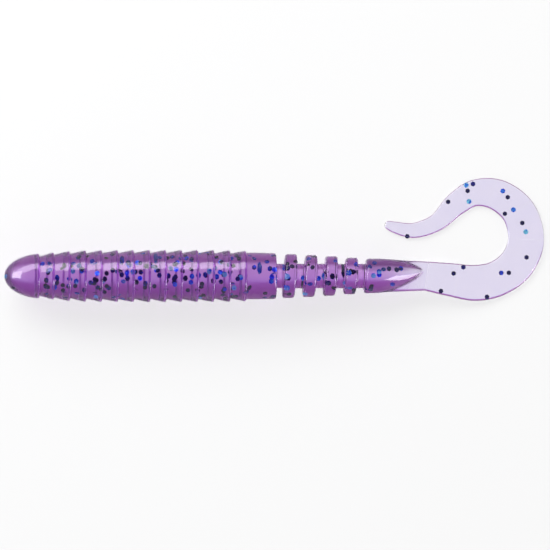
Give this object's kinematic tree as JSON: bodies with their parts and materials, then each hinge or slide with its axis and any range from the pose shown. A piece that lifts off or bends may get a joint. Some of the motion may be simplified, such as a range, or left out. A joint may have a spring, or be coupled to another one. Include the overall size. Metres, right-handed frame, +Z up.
{
  "type": "soft plastic worm",
  "caption": "Soft plastic ring worm fishing bait with a ribbed body, a thin ringed neck and a flat curled ribbon tail, which flexes along its length.",
  "frame": {"origin": "on the table that the worm lies on, under the middle of its length and breadth", "axes": "+X along the body from the nose to the tail, +Y the side that the tail curls to, +Z up from the table"},
  "size_m": [0.081, 0.0186, 0.0078],
  "materials": {
    "violet_body": "translucent violet plastisol with a wet gloss",
    "pale_neck": "paler translucent violet plastisol with a wet gloss",
    "clear_tail": "almost clear plastisol with a faint violet tint and a wet gloss",
    "glitter": "dark blue metallised film flakes"
  },
  "bodies": {
    "nose": {"nose": "violet_body"},
    "rib_01": {"rib_01": "violet_body"},
    "rib_02": {"rib_02": "violet_body"},
    "rib_03": {"rib_03": "violet_body"},
    "rib_04": {"rib_04": "violet_body"},
    "rib_05": {"rib_05": "violet_body"},
    "rib_06": {"rib_06": "violet_body"},
    "rib_07": {"rib_07": "violet_body"},
    "rib_08": {"rib_08": "violet_body"},
    "rib_09": {"rib_09": "violet_body"},
    "rib_10": {"rib_10": "violet_body"},
    "rib_11": {"rib_11": "violet_body"},
    "rib_12": {"rib_12": "violet_body"},
    "rib_13": {"rib_13": "violet_body"},
    "collar": {"collar": "violet_body"},
    "neck_web_1": {"neck_web_1": "pale_neck"},
    "neck_ring_1": {"neck_ring_1": "pale_neck"},
    "neck_web_2": {"neck_web_2": "pale_neck"},
    "neck_ring_2": {"neck_ring_2": "pale_neck"},
    "neck_web_3": {"neck_web_3": "pale_neck"},
    "neck_ring_3": {"neck_ring_3": "pale_neck"},
    "neck_web_4": {"neck_web_4": "pale_neck"},
    "neck_ring_4": {"neck_ring_4": "pale_neck"},
    "neck_web_5": {"neck_web_5": "pale_neck"},
    "tail_root": {"tail_root": "clear_tail"},
    "tail_ribbon_1": {"tail_ribbon_1": "clear_tail"},
    "tail_ribbon_2": {"tail_ribbon_2": "clear_tail"},
    "tail_ribbon_3": {"tail_ribbon_3": "clear_tail"},
    "tail_ribbon_4": {"tail_ribbon_4": "clear_tail"},
    "tail_ribbon_5": {"tail_ribbon_5": "clear_tail"},
    "tail_ribbon_6": {"tail_ribbon_6": "clear_tail"},
    "tail_ribbon_7": {"tail_ribbon_7": "clear_tail"},
    "tail_ribbon_8": {"tail_ribbon_8": "clear_tail"},
    "tail_ribbon_9": {"tail_ribbon_9": "clear_tail"},
    "tail_tip": {"tail_tip": "clear_tail"}
  },
  "joints": [
    {"name": "front_sway", "type": "hinge", "parent": "nose", "child": "rib_01", "pos_m": [-0.03513, -0.0054, 0.00391], "axis": [0.0009, 0.0012, 1], "range_deg": [-7, 7], "stiffness_Nm_per_rad": 0.0034},
    {"name": "body_arch", "type": "hinge", "parent": "rib_01", "child": "rib_02", "pos_m": [-0.03293, -0.0054, 0.00391], "axis": [0.0011, -1, 0.0007], "range_deg": [-7, 7], "stiffness_Nm_per_rad": 0.0034},
    {"name": "front_sway_03", "type": "hinge", "parent": "rib_02", "child": "rib_03", "pos_m": [-0.03053, -0.0054, 0.00391], "axis": [0.0009, 0.0012, 1], "range_deg": [-7, 7], "stiffness_Nm_per_rad": 0.0034},
    {"name": "body_arch_04", "type": "hinge", "parent": "rib_03", "child": "rib_04", "pos_m": [-0.02813, -0.0054, 0.00391], "axis": [0.0011, -1, 0.0007], "range_deg": [-7, 7], "stiffness_Nm_per_rad": 0.0034},
    {"name": "front_sway_05", "type": "hinge", "parent": "rib_04", "child": "rib_05", "pos_m": [-0.02573, -0.0054, 0.00391], "axis": [0.0009, 0.0012, 1], "range_deg": [-7, 7], "stiffness_Nm_per_rad": 0.0034},
    {"name": "body_arch_06", "type": "hinge", "parent": "rib_05", "child": "rib_06", "pos_m": [-0.02332, -0.0054, 0.00391], "axis": [0.0011, -1, 0.0007], "range_deg": [-7, 7], "stiffness_Nm_per_rad": 0.0034},
    {"name": "front_sway_07", "type": "hinge", "parent": "rib_06", "child": "rib_07", "pos_m": [-0.02092, -0.0054, 0.00391], "axis": [0.0009, 0.0012, 1], "range_deg": [-7, 7], "stiffness_Nm_per_rad": 0.0034},
    {"name": "body_arch_08", "type": "hinge", "parent": "rib_07", "child": "rib_08", "pos_m": [-0.01852, -0.0054, 0.00391], "axis": [0.0011, -1, 0.0007], "range_deg": [-7, 7], "stiffness_Nm_per_rad": 0.0034},
    {"name": "rear_sway", "type": "hinge", "parent": "rib_08", "child": "rib_09", "pos_m": [-0.01613, -0.0054, 0.00391], "axis": [0.0009, 0.0012, 1], "range_deg": [-7, 7], "stiffness_Nm_per_rad": 0.0034},
    {"name": "body_arch_10", "type": "hinge", "parent": "rib_09", "child": "rib_10", "pos_m": [-0.01372, -0.0054, 0.00391], "axis": [0.0011, -1, 0.0007], "range_deg": [-7, 7], "stiffness_Nm_per_rad": 0.0034},
    {"name": "rear_sway_11", "type": "hinge", "parent": "rib_10", "child": "rib_11", "pos_m": [-0.01132, -0.0054, 0.00391], "axis": [0.0009, 0.0012, 1], "range_deg": [-7, 7], "stiffness_Nm_per_rad": 0.0034},
    {"name": "body_arch_12", "type": "hinge", "parent": "rib_11", "child": "rib_12", "pos_m": [-0.00893, -0.0054, 0.00391], "axis": [0.0011, -1, 0.0007], "range_deg": [-7, 7], "stiffness_Nm_per_rad": 0.0034},
    {"name": "rear_sway_13", "type": "hinge", "parent": "rib_12", "child": "rib_13", "pos_m": [-0.00653, -0.0054, 0.00391], "axis": [0.0009, 0.0012, 1], "range_deg": [-7, 7], "stiffness_Nm_per_rad": 0.0034},
    {"name": "body_arch_14", "type": "hinge", "parent": "rib_13", "child": "collar", "pos_m": [-0.00413, -0.0054, 0.00391], "axis": [0.0011, -1, 0.0007], "range_deg": [-7, 7], "stiffness_Nm_per_rad": 0.0034},
    {"name": "neck_sway", "type": "hinge", "parent": "collar", "child": "neck_web_1", "pos_m": [0.00032, -0.0054, 0.00377], "axis": [0.0009, 0.0012, 1], "range_deg": [-9, 9], "stiffness_Nm_per_rad": 0.0008},
    {"name": "neck_arch", "type": "hinge", "parent": "neck_web_1", "child": "neck_ring_1", "pos_m": [0.00118, -0.0054, 0.00373], "axis": [0.0011, -1, 0.0007], "range_deg": [-9, 9], "stiffness_Nm_per_rad": 0.0008},
    {"name": "neck_sway_2", "type": "hinge", "parent": "neck_ring_1", "child": "neck_web_2", "pos_m": [0.00337, -0.0054, 0.0036], "axis": [0.0009, 0.0012, 1], "range_deg": [-9, 9], "stiffness_Nm_per_rad": 0.0008},
    {"name": "neck_arch_2", "type": "hinge", "parent": "neck_web_2", "child": "neck_ring_2", "pos_m": [0.00422, -0.0054, 0.00355], "axis": [0.0011, -1, 0.0007], "range_deg": [-9, 9], "stiffness_Nm_per_rad": 0.0008},
    {"name": "neck_sway_3", "type": "hinge", "parent": "neck_ring_2", "child": "neck_web_3", "pos_m": [0.00643, -0.0054, 0.00341], "axis": [0.0009, 0.0012, 1], "range_deg": [-9, 9], "stiffness_Nm_per_rad": 0.0008},
    {"name": "neck_arch_3", "type": "hinge", "parent": "neck_web_3", "child": "neck_ring_3", "pos_m": [0.00728, -0.0054, 0.00335], "axis": [0.0011, -1, 0.0007], "range_deg": [-9, 9], "stiffness_Nm_per_rad": 0.0008},
    {"name": "neck_sway_4", "type": "hinge", "parent": "neck_ring_3", "child": "neck_web_4", "pos_m": [0.00948, -0.0054, 0.0032], "axis": [0.0009, 0.0012, 1], "range_deg": [-9, 9], "stiffness_Nm_per_rad": 0.0008},
    {"name": "neck_arch_4", "type": "hinge", "parent": "neck_web_4", "child": "neck_ring_4", "pos_m": [0.01033, -0.0054, 0.00314], "axis": [0.0011, -1, 0.0007], "range_deg": [-9, 9], "stiffness_Nm_per_rad": 0.0008},
    {"name": "neck_sway_5", "type": "hinge", "parent": "neck_ring_4", "child": "neck_web_5", "pos_m": [0.01252, -0.0054, 0.00298], "axis": [0.0009, 0.0012, 1], "range_deg": [-9, 9], "stiffness_Nm_per_rad": 0.0008},
    {"name": "neck_arch_5", "type": "hinge", "parent": "neck_web_5", "child": "tail_root", "pos_m": [0.01337, -0.0054, 0.00291], "axis": [0.0011, -1, 0.0007], "range_deg": [-9, 9], "stiffness_Nm_per_rad": 0.0008},
    {"name": "tail_flap", "type": "hinge", "parent": "tail_root", "child": "tail_ribbon_1", "pos_m": [0.02287, -0.00542, 0.00219], "axis": [-0.1497, -0.9887, 0], "range_deg": [-15, 15], "stiffness_Nm_per_rad": 0.000002},
    {"name": "tail_uncurl", "type": "hinge", "parent": "tail_ribbon_1", "child": "tail_ribbon_2", "pos_m": [0.0274, -0.00611, 0.00135], "axis": [0.0008, 0.0013, -1], "range_deg": [-3, 8], "stiffness_Nm_per_rad": 0.00009},
    {"name": "tail_flap_3", "type": "hinge", "parent": "tail_ribbon_2", "child": "tail_ribbon_3", "pos_m": [0.03199, -0.00624, 0.00041], "axis": [0.1978, -0.9802, 0], "range_deg": [-15, 15], "stiffness_Nm_per_rad": 0.000002},
    {"name": "tail_uncurl_4", "type": "hinge", "parent": "tail_ribbon_3", "child": "tail_ribbon_4", "pos_m": [0.036, -0.00406, 0.0003], "axis": [0.0008, 0.0013, -1], "range_deg": [-3, 8], "stiffness_Nm_per_rad": 0.00009},
    {"name": "tail_flap_5", "type": "hinge", "parent": "tail_ribbon_4", "child": "tail_ribbon_5", "pos_m": [0.03783, 0.00011, 0.0003], "axis": [0.999, -0.0449, 0], "range_deg": [-15, 15], "stiffness_Nm_per_rad": 0.000002},
    {"name": "tail_uncurl_6", "type": "hinge", "parent": "tail_ribbon_5", "child": "tail_ribbon_6", "pos_m": [0.03655, 0.00448, 0.0003], "axis": [0.0008, 0.0013, -1], "range_deg": [-3, 8], "stiffness_Nm_per_rad": 0.00009},
    {"name": "tail_flap_7", "type": "hinge", "parent": "tail_ribbon_6", "child": "tail_ribbon_7", "pos_m": [0.03281, 0.00701, 0.0003], "axis": [0.2391, 0.971, 0], "range_deg": [-15, 15], "stiffness_Nm_per_rad": 0.000002},
    {"name": "tail_uncurl_8", "type": "hinge", "parent": "tail_ribbon_7", "child": "tail_ribbon_8", "pos_m": [0.02846, 0.00628, 0.0003], "axis": [0.0008, 0.0013, -1], "range_deg": [-3, 8], "stiffness_Nm_per_rad": 0.00009},
    {"name": "tail_flap_9", "type": "hinge", "parent": "tail_ribbon_8", "child": "tail_ribbon_9", "pos_m": [0.02511, 0.00322, 0.0003], "axis": [-0.6803, 0.7329, 0], "range_deg": [-15, 15], "stiffness_Nm_per_rad": 0.000002},
    {"name": "tail_uncurl_10", "type": "hinge", "parent": "tail_ribbon_9", "child": "tail_tip", "pos_m": [0.02094, 0.00145, 0.0003], "axis": [0.0008, 0.0013, -1], "range_deg": [-3, 8], "stiffness_Nm_per_rad": 0.00009}
  ],
  "couplings": [
    {"joint": "front_sway_03", "follows": "front_sway", "ratio": 1},
    {"joint": "body_arch_04", "follows": "body_arch", "ratio": 1},
    {"joint": "front_sway_05", "follows": "front_sway", "ratio": 1},
    {"joint": "body_arch_06", "follows": "body_arch", "ratio": 1},
    {"joint": "front_sway_07", "follows": "front_sway", "ratio": 1},
    {"joint": "body_arch_08", "follows": "body_arch", "ratio": 1},
    {"joint": "body_arch_10", "follows": "body_arch", "ratio": 1},
    {"joint": "rear_sway_11", "follows": "rear_sway", "ratio": 1},
    {"joint": "body_arch_12", "follows": "body_arch", "ratio": 1},
    {"joint": "rear_sway_13", "follows": "rear_sway", "ratio": 1},
    {"joint": "body_arch_14", "follows": "body_arch", "ratio": 1},
    {"joint": "neck_sway_2", "follows": "neck_sway", "ratio": 1},
    {"joint": "neck_arch_2", "follows": "neck_arch", "ratio": 1},
    {"joint": "neck_sway_3", "follows": "neck_sway", "ratio": 1},
    {"joint": "neck_arch_3", "follows": "neck_arch", "ratio": 1},
    {"joint": "neck_sway_4", "follows": "neck_sway", "ratio": 1},
    {"joint": "neck_arch_4", "follows": "neck_arch", "ratio": 1},
    {"joint": "neck_sway_5", "follows": "neck_sway", "ratio": 1},
    {"joint": "neck_arch_5", "follows": "neck_arch", "ratio": 1},
    {"joint": "tail_flap_3", "follows": "tail_flap", "ratio": 1},
    {"joint": "tail_uncurl_4", "follows": "tail_uncurl", "ratio": 1},
    {"joint": "tail_flap_5", "follows": "tail_flap", "ratio": 1},
    {"joint": "tail_uncurl_6", "follows": "tail_uncurl", "ratio": 1},
    {"joint": "tail_flap_7", "follows": "tail_flap", "ratio": 1},
    {"joint": "tail_uncurl_8", "follows": "tail_uncurl", "ratio": 1},
    {"joint": "tail_flap_9", "follows": "tail_flap", "ratio": 1},
    {"joint": "tail_uncurl_10", "follows": "tail_uncurl", "ratio": 1}
  ]
}
